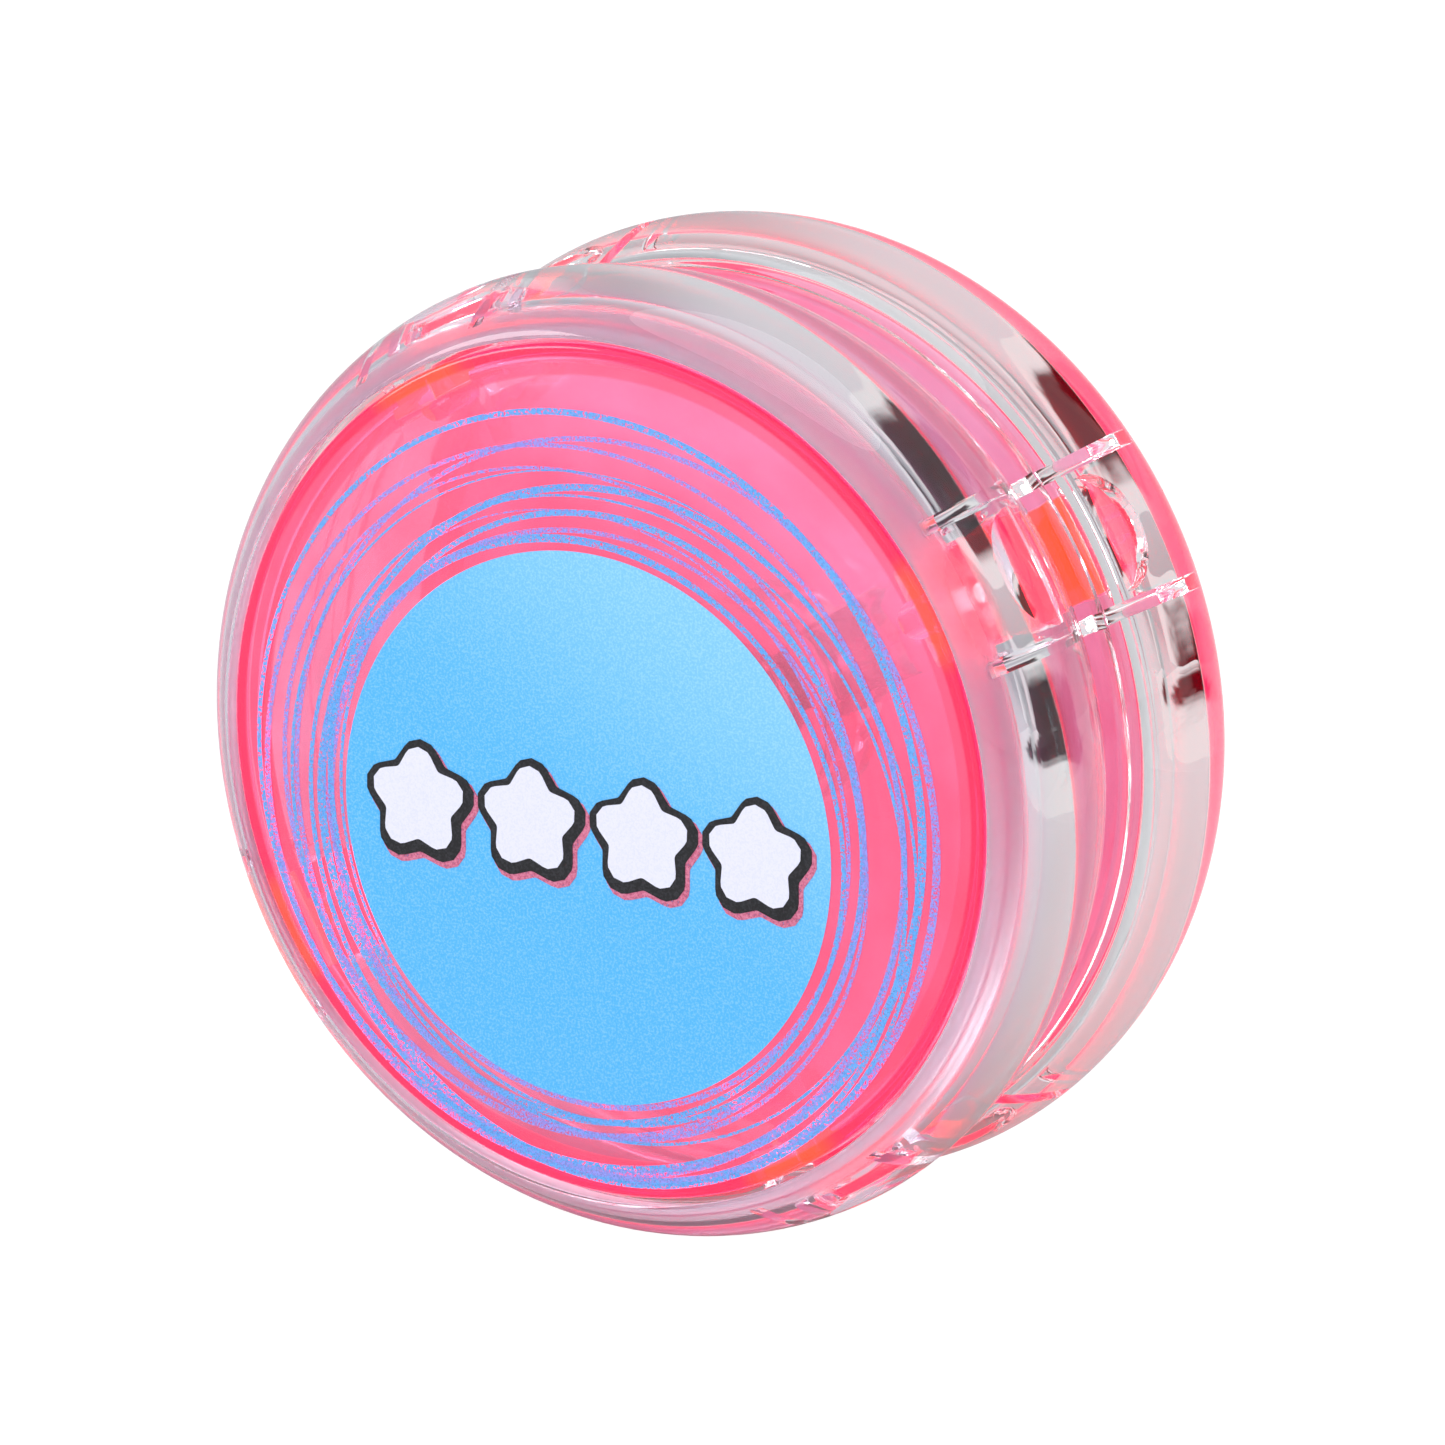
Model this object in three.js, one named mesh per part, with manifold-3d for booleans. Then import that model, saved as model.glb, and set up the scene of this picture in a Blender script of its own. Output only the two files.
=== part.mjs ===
// Clear-shelled yo-yo with snap-in coloured caps and a free-spinning string sleeve.
//
// Frame: millimetres, +Z up, axle along Y, origin on the axle midway between the two halves.
// The decorated front cap faces -Y. Both halves are the same moulding, so each is modelled once,
// rising along +Y from the middle plane, and then turned into place.

import * as THREE from 'three';
import { mergeVertices } from 'three/addons/utils/BufferGeometryUtils.js';
import Module from 'manifold-3d';

const wasm = await Module();
wasm.setup();

// ---- driving dimensions ------------------------------------------------------------------

// overall form of one half
const OUTER_RADIUS = 28; // largest radius, at the crown of the rim
const BODY_WIDTH = 25; // lip to lip, along the axle
const STRING_GAP = 1.8; // between the facing webs
const CROWN_HEIGHT = 6.9; // crown of the rim above the middle plane
const THROAT_DROP = 1.9; // how much smaller the rim is at the string gap than at the crown
const THROAT_ROUND = 0.6; // rounding of the rim's edge at the string gap
const THROAT_POWER = 1.35; // fullness of the curve from gap to crown
const SHOULDER_DROP = 4.4; // radial depth of the shoulder's full curve
const SHOULDER_OVERRUN = 0.5; // the shoulder's curve is aimed this far past the lip
const SHOULDER_POWER = 1.85; // fullness of the curve from crown to lip
const LIP_LAND = 0.25; // flat width of the lip's end

// walls of the shell
const BORE_BULGE = 0.9; // the rim's bore is this much wider in radius below the crown than at the lip
const SKIN = 0.9; // ribs and catches stay this far inside the rim's outer surface
const WEB = 1.6;
const HUB_RADIUS = 6.5;
const HUB_HEIGHT = 8; // above the gap face

// fits
const CLEARANCE = 0.3; // between pieces that touch or run on each other
const EMBED = 0.4; // how far joined features sink into each other
const TAB_ROOM = 0.9; // between a tab's side and the rib beside it

// axle hardware
const AXLE_RADIUS = 2;
const HEX_ACROSS_FLATS = 7;
const HEX_HEIGHT = 2.8;
const THREAD_PAST_NUT = 0.8;
const SLEEVE_RADIUS = 3.8;
const SLEEVE_WAIST = 3.4; // at the middle, where the string loop sits
const SLEEVE_LENGTH = 3.6;
const SPACER_RADIUS = 3.5;
const SPACER_THICKNESS = 0.5;

// cap
const CAP_SINK = 0.2; // cap face below the lip
const CAP_THICKNESS = 1.5;
const CAP_EDGE = 0.3; // chamfer around the cap face
const SKIRT_WALL = 1;
const SKIRT_DEPTH = 1.5; // below the cap's plate

// snap tabs and their pockets
const TAB_COUNT = 4;
const TAB_PHASE = THREE.MathUtils.degToRad(30.4); // first tab, from +X towards +Z
const TAB_WIDTH = 5.8;
const TAB_THICKNESS = 1.3;
const TAB_INSET = 0.5; // tab's outer face inside the skirt's outer face
const HOOK_THICKNESS = 1.1;
const BOSS_RADIUS = 1.1; // half-round stiffener at the tab's root
const BOSS_DEPTH = 3; // below the cap's plate
const RIB_THICKNESS = 0.9;
const RIB_DEPTH = 2.6; // radially, from the shell's lip bore inwards
const RIB_TOP_DROP = 2; // rib's outer step below the lip
const CATCH_WIDTH = 6.8; // tangentially
const CATCH_SIDE = 0.6; // straight part of its sides, along the axle
const CATCH_RISE = 2.6; // from there to the top of its round side

// fineness
const ROUND_STEPS = 48; // around the axle, large pieces
const SMALL_STEPS = 24; // around the axle, small pieces
const CURVE_STEPS = 5; // along each rim curve
const BORE_STEPS = 8; // along the rim's bore
const EDGE_STEPS = 3; // round the rim's edge at the string gap
const CATCH_STEPS = 10; // round a catch
const MERGE_DISTANCE = 1e-4; // corners closer than this are one corner

// ---- derived sizes -------------------------------------------------------------------------

const gapFace = STRING_GAP / 2;
const lipTop = BODY_WIDTH / 2;
const webTop = gapFace + WEB;
const hubTop = gapFace + HUB_HEIGHT;
const bore = AXLE_RADIUS + CLEARANCE;
const throatStart = gapFace + THROAT_ROUND;
const throatRadius = OUTER_RADIUS - THROAT_DROP;
const shoulderSpan = lipTop + SHOULDER_OVERRUN - CROWN_HEIGHT;

// outer radius of the rim at a height above the middle plane: two superellipse quarters
function rimRadius(height) {
  if (height < CROWN_HEIGHT) {
    const u = Math.min(1, (CROWN_HEIGHT - height) / (CROWN_HEIGHT - throatStart));
    return throatRadius + THROAT_DROP * (1 - u ** THROAT_POWER) ** (1 / THROAT_POWER);
  }
  const u = (height - CROWN_HEIGHT) / shoulderSpan;
  return OUTER_RADIUS - SHOULDER_DROP + SHOULDER_DROP * (1 - u ** SHOULDER_POWER) ** (1 / SHOULDER_POWER);
}

const lipBore = rimRadius(lipTop) - LIP_LAND;

// inner radius of the rim at a height above the middle plane: straight, then drawn in to the lip
function boreRadius(height) {
  const u = Math.max(0, height - CROWN_HEIGHT) / (lipTop - CROWN_HEIGHT);
  return lipBore + BORE_BULGE * (1 - u * u);
}

const capTop = lipTop - CAP_SINK;
const plateBottom = capTop - CAP_THICKNESS;
const capRadius = lipBore - CLEARANCE;
const skirtEnd = plateBottom - SKIRT_DEPTH;
const skirtInner = capRadius - SKIRT_WALL;
const tabOuter = capRadius - TAB_INSET;
const tabInner = tabOuter - TAB_THICKNESS;
const tabEnd = webTop + CLEARANCE;
// the hook's outer corners reach out to just short of the shell's bore
const hookOuter = Math.sqrt((boreRadius(tabEnd) - CLEARANCE) ** 2 - (TAB_WIDTH / 2) ** 2);
const hookTop = tabEnd + HOOK_THICKNESS;
const catchBottom = hookTop + CLEARANCE;
const ribInner = lipBore - RIB_DEPTH;
const ribTop = lipTop - RIB_TOP_DROP;
const ribStep = skirtEnd - CLEARANCE;
const ribOffset = (TAB_WIDTH + RIB_THICKNESS) / 2 + TAB_ROOM;

const sleeveHalf = SLEEVE_LENGTH / 2;
const spacerBottom = sleeveHalf + CLEARANCE;
const recessFloor = spacerBottom + SPACER_THICKNESS + CLEARANCE;
const recessRadius = Math.max(SLEEVE_RADIUS, SPACER_RADIUS) + CLEARANCE;
const hexSeat = hubTop - HEX_HEIGHT;
const hexCorner = HEX_ACROSS_FLATS / Math.sqrt(3);
const hexPocketCorner = (HEX_ACROSS_FLATS + 2 * CLEARANCE) / Math.sqrt(3);

// ---- geometry helpers ------------------------------------------------------------------------

function toSolid(geometry) {
  const bare = geometry.clone();
  bare.deleteAttribute('normal');
  bare.deleteAttribute('uv');
  const merged = mergeVertices(bare, MERGE_DISTANCE);
  return new wasm.Manifold(new wasm.Mesh({
    numProp: 3,
    vertProperties: new Float32Array(merged.attributes.position.array),
    triVerts: new Uint32Array(merged.index.array),
  }));
}

function toGeometry(solid) {
  const mesh = solid.getMesh();
  const geometry = new THREE.BufferGeometry();
  geometry.setAttribute('position', new THREE.BufferAttribute(mesh.vertProperties, 3));
  geometry.setIndex(new THREE.BufferAttribute(mesh.triVerts, 1));
  geometry.computeVertexNormals();
  return geometry;
}

// closed solid of revolution about the axle from [radius, height] points, outside upwards
function revolve(points, steps) {
  const outline = [...points, points[0]].map(([radius, height]) => new THREE.Vector2(radius, height));
  return new THREE.LatheGeometry(outline, steps);
}

// a solid of revolution whose outline starts and ends on the axle
function revolveFull(points, steps) {
  return new THREE.LatheGeometry(points.map(([radius, height]) => new THREE.Vector2(radius, height)), steps);
}

// box between two radii and two heights, centred on a tab's own direction (local +X)
function radialBox(inner, outer, bottom, top, width) {
  const box = new THREE.BoxGeometry(outer - inner, top - bottom, width);
  return box.translate((inner + outer) / 2, (bottom + top) / 2, 0);
}

function hexPrism(corner, bottom, top) {
  const prism = new THREE.CylinderGeometry(corner, corner, top - bottom, 6);
  return prism.translate(0, (bottom + top) / 2, 0);
}

// every tab position, as copies of one solid turned about the axle
function aroundAxle(solid) {
  const copies = [];
  for (let i = 0; i < TAB_COUNT; i += 1) copies.push(solid.rotate([0, (i * 360) / TAB_COUNT, 0]));
  return copies;
}

// heights stepped evenly along a quarter-turn, so that points gather where the curve is tight
function easedHeights(from, to) {
  const heights = [];
  for (let i = 0; i <= CURVE_STEPS; i += 1) {
    heights.push(from + (to - from) * Math.sin((Math.PI / 2) * (i / CURVE_STEPS)));
  }
  return heights;
}

// ---- shell half ------------------------------------------------------------------------------

function rimOutline() {
  const edge = [];
  for (let i = 0; i < EDGE_STEPS; i += 1) {
    const turn = (Math.PI / 2) * (i / EDGE_STEPS);
    const radius = throatRadius - THROAT_ROUND * (1 - Math.sin(turn));
    edge.push([radius, throatStart - THROAT_ROUND * Math.cos(turn)]);
  }
  const throat = easedHeights(CROWN_HEIGHT, throatStart).reverse();
  const shoulder = easedHeights(CROWN_HEIGHT, lipTop).slice(1);
  return [...edge, ...[...throat, ...shoulder].map((height) => [rimRadius(height), height])];
}

function boreOutline() {
  const points = [];
  for (let i = 0; i <= BORE_STEPS; i += 1) {
    const height = lipTop + (CROWN_HEIGHT - lipTop) * (i / BORE_STEPS);
    points.push([boreRadius(height), height]);
  }
  points.push([boreRadius(webTop), webTop]);
  return points;
}

// D-shaped block on the bore: its straight side holds the hook, its round side faces the lip
function catchSolid() {
  const half = CATCH_WIDTH / 2;
  const outline = new THREE.Shape();
  outline.moveTo(-half, catchBottom);
  outline.lineTo(half, catchBottom);
  for (let i = 0; i <= CATCH_STEPS; i += 1) {
    const turn = (Math.PI * i) / CATCH_STEPS;
    outline.lineTo(half * Math.cos(turn), catchBottom + CATCH_SIDE + CATCH_RISE * Math.sin(turn));
  }
  outline.closePath();
  const inner = tabOuter + CLEARANCE;
  const block = new THREE.ExtrudeGeometry(outline, { depth: OUTER_RADIUS - inner, bevelEnabled: false });
  return toSolid(block.rotateY(Math.PI / 2).translate(inner, 0, 0));
}

function ribSolid() {
  const reach = OUTER_RADIUS;
  const bottom = webTop - EMBED;
  const outline = new THREE.Shape();
  outline.moveTo(ribInner, bottom);
  outline.lineTo(reach, bottom);
  outline.lineTo(reach, ribTop);
  outline.lineTo(lipBore, ribTop);
  outline.lineTo(lipBore, ribStep);
  outline.lineTo(ribInner, ribStep);
  outline.closePath();
  const plate = new THREE.ExtrudeGeometry(outline, { depth: RIB_THICKNESS, bevelEnabled: false });
  return toSolid(plate.translate(0, 0, -RIB_THICKNESS / 2));
}

// the shell's outer form less its skin, which trims ribs and catches inside the rim
function rimCore() {
  const rim = rimOutline().map(([radius, height]) => [radius - SKIN, height]);
  return toSolid(revolveFull([[0, gapFace], ...rim, [0, lipTop]], ROUND_STEPS));
}

function shellGeometry() {
  const body = revolve([
    [bore, recessFloor],
    [recessRadius, recessFloor],
    [recessRadius, gapFace],
    ...rimOutline(),
    ...boreOutline(),
    [HUB_RADIUS, webTop],
    [HUB_RADIUS, hubTop],
    [bore, hubTop],
  ], ROUND_STEPS);

  const rib = ribSolid();
  const pocket = rib.translate([0, 0, ribOffset])
    .add(rib.translate([0, 0, -ribOffset]))
    .add(catchSolid())
    .intersect(rimCore());

  let shell = toSolid(body);
  for (const part of aroundAxle(pocket)) shell = shell.add(part);
  const hexPocket = hexPrism(hexPocketCorner, hexSeat - CLEARANCE, hubTop + EMBED);
  return toGeometry(shell.subtract(toSolid(hexPocket)));
}

// ---- cap -------------------------------------------------------------------------------------

function capGeometry() {
  const plate = revolveFull([
    [0, plateBottom],
    [skirtInner, plateBottom],
    [skirtInner, skirtEnd],
    [capRadius, skirtEnd],
    [capRadius, capTop - CAP_EDGE],
    [capRadius - CAP_EDGE, capTop],
    [0, capTop],
  ], ROUND_STEPS);

  const root = plateBottom + EMBED;
  const tab = toSolid(radialBox(tabInner, tabOuter, tabEnd, root, TAB_WIDTH));
  const hook = toSolid(radialBox(tabInner + EMBED, hookOuter, tabEnd, hookTop, TAB_WIDTH));
  const boss = new THREE.CylinderGeometry(BOSS_RADIUS, BOSS_RADIUS, BOSS_DEPTH + EMBED, SMALL_STEPS);
  boss.translate(tabInner, plateBottom - BOSS_DEPTH + (BOSS_DEPTH + EMBED) / 2, 0);
  const snap = tab.add(hook).add(toSolid(boss));

  let cap = toSolid(plate);
  for (const part of aroundAxle(snap)) cap = cap.add(part);
  return toGeometry(cap);
}

// ---- axle hardware ---------------------------------------------------------------------------

// bolt along Y: the head seats in the +Y half, the thread ends past the nut in the -Y half
function boltGeometry() {
  const shankEnd = -(hexSeat + HEX_HEIGHT + THREAD_PAST_NUT);
  const shank = new THREE.CylinderGeometry(AXLE_RADIUS, AXLE_RADIUS, hexSeat + EMBED - shankEnd, SMALL_STEPS);
  shank.translate(0, (hexSeat + EMBED + shankEnd) / 2, 0);
  const head = hexPrism(hexCorner, hexSeat, hexSeat + HEX_HEIGHT);
  return toGeometry(toSolid(shank).add(toSolid(head)));
}

function nutGeometry() {
  const hole = new THREE.CylinderGeometry(bore, bore, HEX_HEIGHT + 2 * EMBED, SMALL_STEPS);
  hole.translate(0, -(hexSeat + HEX_HEIGHT / 2), 0);
  const body = hexPrism(hexCorner, -(hexSeat + HEX_HEIGHT), -hexSeat);
  return toGeometry(toSolid(body).subtract(toSolid(hole)));
}

function sleeveGeometry() {
  const land = sleeveHalf / 2;
  return revolve([
    [bore, -sleeveHalf],
    [SLEEVE_RADIUS, -sleeveHalf],
    [SLEEVE_RADIUS, -land],
    [SLEEVE_WAIST, 0],
    [SLEEVE_RADIUS, land],
    [SLEEVE_RADIUS, sleeveHalf],
    [bore, sleeveHalf],
  ], SMALL_STEPS);
}

function spacerGeometry() {
  const top = spacerBottom + SPACER_THICKNESS;
  return revolve([
    [bore, spacerBottom],
    [SPACER_RADIUS, spacerBottom],
    [SPACER_RADIUS, top],
    [bore, top],
  ], SMALL_STEPS);
}

// ---- assembly --------------------------------------------------------------------------------

const clearPlastic = { color: 0xd7d7d9, roughness: 0.08, metalness: 0 };
const pinkPlastic = { color: 0xfa6ea0, roughness: 0.12, metalness: 0 };
const steel = { color: 0xb8babd, roughness: 0.3, metalness: 1 };
const whitePlastic = { color: 0xf0f0ec, roughness: 0.4, metalness: 0 };

function piece(name, geometry, finish) {
  const mesh = new THREE.Mesh(geometry, new THREE.MeshStandardMaterial(finish));
  mesh.name = name;
  return mesh;
}

// one half of the yo-yo, turned about Z so that it rises towards its own side, then to the tab phase
function half(side, shell, cap, spacer) {
  const group = new THREE.Group();
  group.rotation.set(0, -TAB_PHASE, side === 'front' ? Math.PI : 0);
  group.add(piece(`${side}_shell`, shell, clearPlastic));
  group.add(piece(`${side}_cap`, cap, pinkPlastic));
  group.add(piece(`${side}_spacer`, spacer, steel));
  return group;
}

const shell = shellGeometry();
const cap = capGeometry();
const spacer = spacerGeometry();

const hardware = new THREE.Group();
hardware.rotation.y = -TAB_PHASE;
hardware.add(piece('axle_bolt', boltGeometry(), steel));
hardware.add(piece('axle_nut', nutGeometry(), steel));

const yoyo = new THREE.Group();
yoyo.add(half('front', shell, cap, spacer));
yoyo.add(half('rear', shell, cap, spacer));
yoyo.add(hardware);
yoyo.add(piece('string_sleeve', sleeveGeometry(), whitePlastic));

export default yoyo;
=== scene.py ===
"""Clear-shelled yo-yo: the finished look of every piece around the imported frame.

Metres, +Z up, axle along Y, the printed cap facing -Y. A height is a distance from the middle
plane along the axle; a radius is a distance from the axle.
"""

import math
import random

import bmesh
import bpy
from bpy.props import FloatProperty, FloatVectorProperty, IntProperty, PointerProperty
from mathutils import Matrix, Vector


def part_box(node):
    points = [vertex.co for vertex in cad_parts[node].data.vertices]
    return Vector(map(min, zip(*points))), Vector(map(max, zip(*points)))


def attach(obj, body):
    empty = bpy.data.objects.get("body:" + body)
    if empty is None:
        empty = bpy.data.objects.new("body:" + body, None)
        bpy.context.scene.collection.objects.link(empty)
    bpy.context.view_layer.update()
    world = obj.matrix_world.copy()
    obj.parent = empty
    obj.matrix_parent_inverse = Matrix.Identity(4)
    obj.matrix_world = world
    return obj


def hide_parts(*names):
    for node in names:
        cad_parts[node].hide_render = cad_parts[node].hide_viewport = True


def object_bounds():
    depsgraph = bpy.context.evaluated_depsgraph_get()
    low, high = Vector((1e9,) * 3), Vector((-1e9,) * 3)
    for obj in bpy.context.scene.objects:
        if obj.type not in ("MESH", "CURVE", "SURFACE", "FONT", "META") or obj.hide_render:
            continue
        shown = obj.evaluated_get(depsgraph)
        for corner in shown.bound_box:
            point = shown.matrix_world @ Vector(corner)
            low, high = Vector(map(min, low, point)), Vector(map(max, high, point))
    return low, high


bl_info = {
    "name": "Clear Yo-yo",
    "version": (1, 0, 0),
    "blender": (4, 5, 0),
    "location": "View3D > Sidebar > Yo-yo",
    "description": "Models a clear-shelled yo-yo with pink snap-in caps",
    "category": "Object",
}

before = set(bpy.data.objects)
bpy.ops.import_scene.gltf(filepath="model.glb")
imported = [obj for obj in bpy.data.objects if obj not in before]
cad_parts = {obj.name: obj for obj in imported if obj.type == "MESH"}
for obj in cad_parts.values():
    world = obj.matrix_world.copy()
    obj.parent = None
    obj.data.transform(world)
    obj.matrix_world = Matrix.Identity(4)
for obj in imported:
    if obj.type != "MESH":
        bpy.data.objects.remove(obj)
cad_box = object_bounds()

MM = 0.001
SIDES = ("front", "rear")  # the front half lies towards -Y

AXLE_HOLE = 2.3 * MM  # radius of the hole through shells, spacers and sleeve
BOLT_RADIUS = 2 * MM
HEX_ACROSS = 7 * MM  # across the flats of the bolt's head and the nut
HEX_POCKET_ACROSS = 7.6 * MM
HEX_POCKET_DEPTH = 3.1 * MM
TAB_INSET = 0.5 * MM  # tab's outer face inside the edge of the cap's plate
SKIN = 0.9 * MM  # ribs and catches stay this far inside the rim's outer surface

CLEAR_IOR = 1.59  # crystal polystyrene, for shells and caps
WORLD_GREY = 0.76  # brightness that the studio and the edges of its dark cards are set from
TABS = 4  # on each cap, evenly spaced
FACETS = 192  # round the shells and caps
RING_FACETS = 96  # round the sleeve, the spacers and the chamfered hexagons
BOLT_FACETS = 64  # round the bolt and the nut's hole

shell_low, shell_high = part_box("rear_shell")
cap_low, cap_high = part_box("rear_cap")
sleeve_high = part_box("string_sleeve")[1]
spacer_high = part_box("rear_spacer")[1]
bolt_low, bolt_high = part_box("axle_bolt")
nut_low, nut_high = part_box("axle_nut")
floor_height = cad_box[0].z - 0.05 * MM


# ---- settings --------------------------------------------------------------------------------


def length(name, description, default):
    return FloatProperty(name=name, description=description, default=default, unit="LENGTH", precision=5)


def colour(name, description, default):
    return FloatVectorProperty(
        name=name, description=description, default=default, subtype="COLOR", size=4, min=0, max=1
    )


class YoyoShellSettings(bpy.types.PropertyGroup):
    outer_radius: length("Outer radius", "Largest radius, at the crown of the rim", shell_high.x)
    lip_height: length("Lip height", "Lip above the middle plane", shell_high.y)
    gap_face: length("Gap face", "Web's face above the middle plane", shell_low.y)
    crown_height: length("Crown height", "Crown of the rim above the middle plane", 6.9 * MM)
    throat_drop: length("Throat drop", "Rim radius lost towards the string gap", 1.9 * MM)
    throat_round: length("Throat rounding", "Rounding of the rim's edge at the gap", 0.6 * MM)
    shoulder_drop: length("Shoulder drop", "Radial depth of the shoulder's full curve", 4.4 * MM)
    shoulder_overrun: length("Shoulder overrun", "How far the shoulder's curve aims past the lip", 0.5 * MM)
    bore_bulge: length("Bore bulge", "Bore's extra radius below the crown over the lip", 0.9 * MM)
    web: length("Web", "Thickness of the web beside the gap", 1.6 * MM)
    hub_radius: length("Hub radius", "Radius of the hub around the bolt", 6.5 * MM)
    hub_height: length("Hub height", "Hub above the gap face", 8 * MM)
    tab_phase: FloatProperty(
        name="Tab phase", description="First tab, from +X towards +Z",
        default=math.radians(30.4), subtype="ANGLE",
    )
    around: IntProperty(name="Steps around", description="Facets round the axle", default=FACETS)


class YoyoCapSettings(bpy.types.PropertyGroup):
    radius: length("Cap radius", "Radius of the cap's plate", 24.61 * MM)
    hook_reach: length("Hook reach", "Radius that the hooks reach out to", 25.33 * MM)
    face: length("Face height", "Cap's face above the middle plane", cap_high.y)
    tab_end: length("Tab end", "Hook's end above the middle plane", cap_low.y)
    thickness: length("Plate", "Thickness of the cap's plate", 1.5 * MM)
    skirt_wall: length("Skirt wall", "Thickness of the skirt", 1 * MM)
    skirt_depth: length("Skirt depth", "Skirt below the plate", 1.5 * MM)
    tab_width: length("Tab width", "Width of a snap tab", 5.8 * MM)
    tab_thickness: length("Tab thickness", "Thickness of a snap tab", 1.3 * MM)
    clearance: length("Clearance", "Gap between pieces that touch", 0.3 * MM)


class YoyoPrintSettings(bpy.types.PropertyGroup):
    centre_x: length("Print centre X", "Print's centre across the face", -1.1 * MM)
    centre_z: length("Print centre Z", "Print's centre up the face", -3.35 * MM)
    disc_radius: length("Disc radius", "Radius of the printed disc", 16 * MM)
    ink: length("Ink", "Thickness of one layer of ink", 0.02 * MM)
    star_radius: length("Star radius", "Point radius of a printed star", 4.1 * MM)
    star_pitch: length("Star pitch", "Distance between stars", 7.4 * MM)
    stars: IntProperty(name="Stars", description="Stars in the row", default=4, min=1)


class YoyoColours(bpy.types.PropertyGroup):
    clear: colour("Clear plastic", "Tint of the clear shells", (0.955, 0.975, 0.99, 1))
    # painted light: the front shell's matt bore and lip are painted lavender and the lip glows, for the
    # pink cap's light seen in them
    matt_painted_lavender: colour("Matt plastic", "Tint of the bore beside the front cap", (0.78, 0.64, 0.84, 1))
    lip_painted_lavender: colour("Lip plastic", "Tint of the front shell's lip", (0.90, 0.80, 0.93, 1))
    lip_glow: colour("Lip glow", "Faint light in the front shell's lip", (0.02, 0.015, 0.03, 1))
    pink: colour("Pink plastic", "Body tint of the caps", (0.93, 0.20, 0.36, 1))
    # pale_pink is also painted light: the caps are mixed towards it up and to the right
    pale_pink: colour("Pale pink plastic", "Tint of the caps' haze and upper right", (0.98, 0.54, 0.78, 1))
    # painted light: only the front cap's outer wall is painted paler, while the rear cap's stays deep pink
    wall_painted_pale_pink: colour("Wall pink", "Tint of the front cap's outer wall", (0.94, 0.46, 0.76, 1))
    edge_glow: colour("Edge glow", "Light gathered at the caps' edges", (0.96, 0.02, 0.085, 1))
    tab_glow: colour("Tab glow", "Light gathered at the hooks' ends", (1.0, 0.11, 0.0, 1))
    sky_blue: colour("Sky blue ink", "Printed disc and the other swirls", (0.07, 0.43, 0.88, 1))
    violet: colour("Violet ink", "Half of the printed swirls", (0.37, 0.27, 0.80, 1))
    shadow_pink: colour("Shadow ink", "Shadow of the printed stars", (0.55, 0.12, 0.22, 1))
    steel: colour("Steel", "Plated bolt, nut and spacers", (0.62, 0.63, 0.65, 1))
    sleeve: colour("Sleeve", "White acetal of the string sleeve", (0.85, 0.85, 0.82, 1))


# ---- shader helpers --------------------------------------------------------------------------


class Wire:
    """A shader socket that Python arithmetic works on; each operator adds its Math node."""

    def __init__(self, shader, socket):
        self.shader = shader
        self.socket = socket

    def __add__(self, other):
        return self.shader.math("ADD", self, other)

    def __radd__(self, other):
        return self.shader.math("ADD", other, self)

    def __sub__(self, other):
        return self.shader.math("SUBTRACT", self, other)

    def __rsub__(self, other):
        return self.shader.math("SUBTRACT", other, self)

    def __mul__(self, other):
        return self.shader.math("MULTIPLY", self, other)

    def __rmul__(self, other):
        return self.shader.math("MULTIPLY", other, self)

    def __truediv__(self, other):
        return self.shader.math("DIVIDE", self, other)

    def __pow__(self, other):
        return self.shader.math("POWER", self, other)

    def __abs__(self):
        return self.shader.math("ABSOLUTE", self)

    def between(self, low, high):
        """0 below low, 1 above high, smooth in between."""
        return self.shader.node(
            "ShaderNodeMapRange", {"interpolation_type": "SMOOTHSTEP"},
            {"Value": self, "From Min": low, "From Max": high},
        )


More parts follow.
